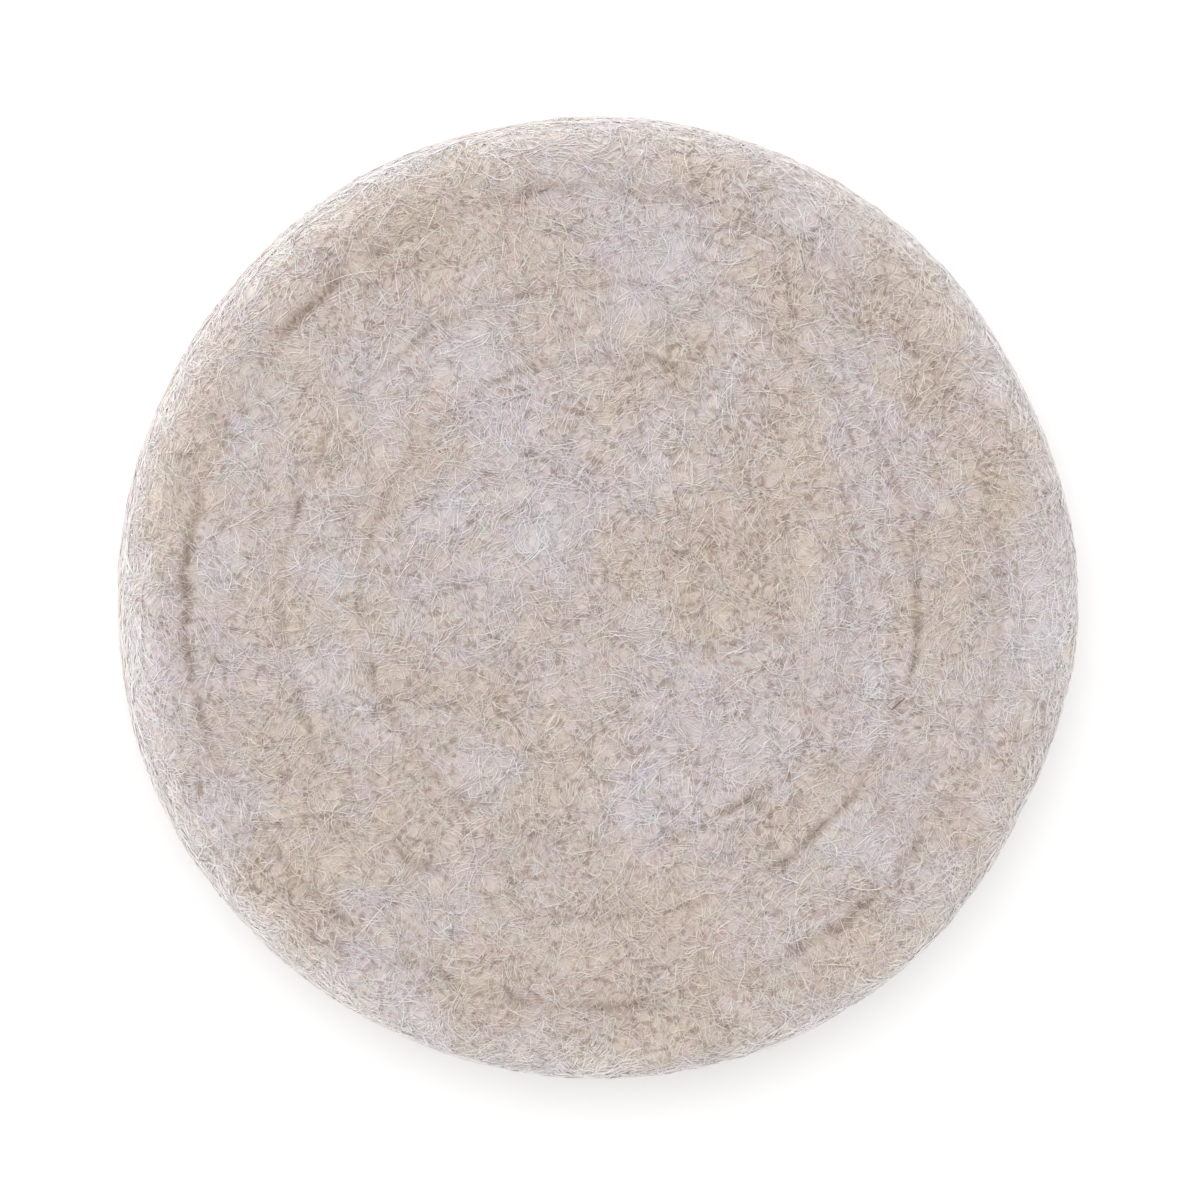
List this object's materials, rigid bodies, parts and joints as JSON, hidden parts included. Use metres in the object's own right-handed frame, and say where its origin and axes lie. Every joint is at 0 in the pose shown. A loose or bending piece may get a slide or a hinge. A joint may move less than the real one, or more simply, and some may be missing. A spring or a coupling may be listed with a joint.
{
  "type": "felt furniture pad",
  "caption": "Thick round felt pad for the foot of a chair or table leg, with a flat back to glue down and a soft worn face marked by broken concentric creases.",
  "frame": {"origin": "middle of the flat back, at the bottom of the pad as it lies face up", "axes": "+Z from the back through the worn face; +X to the right and +Y upwards as the picture shows the face"},
  "size_m": [0.025, 0.025, 0.005],
  "materials": {
    "felt": "matt needled felt, beige and grey fibres"
  },
  "bodies": {
    "root": {"felt_pad": "felt"}
  },
  "joints": []
}
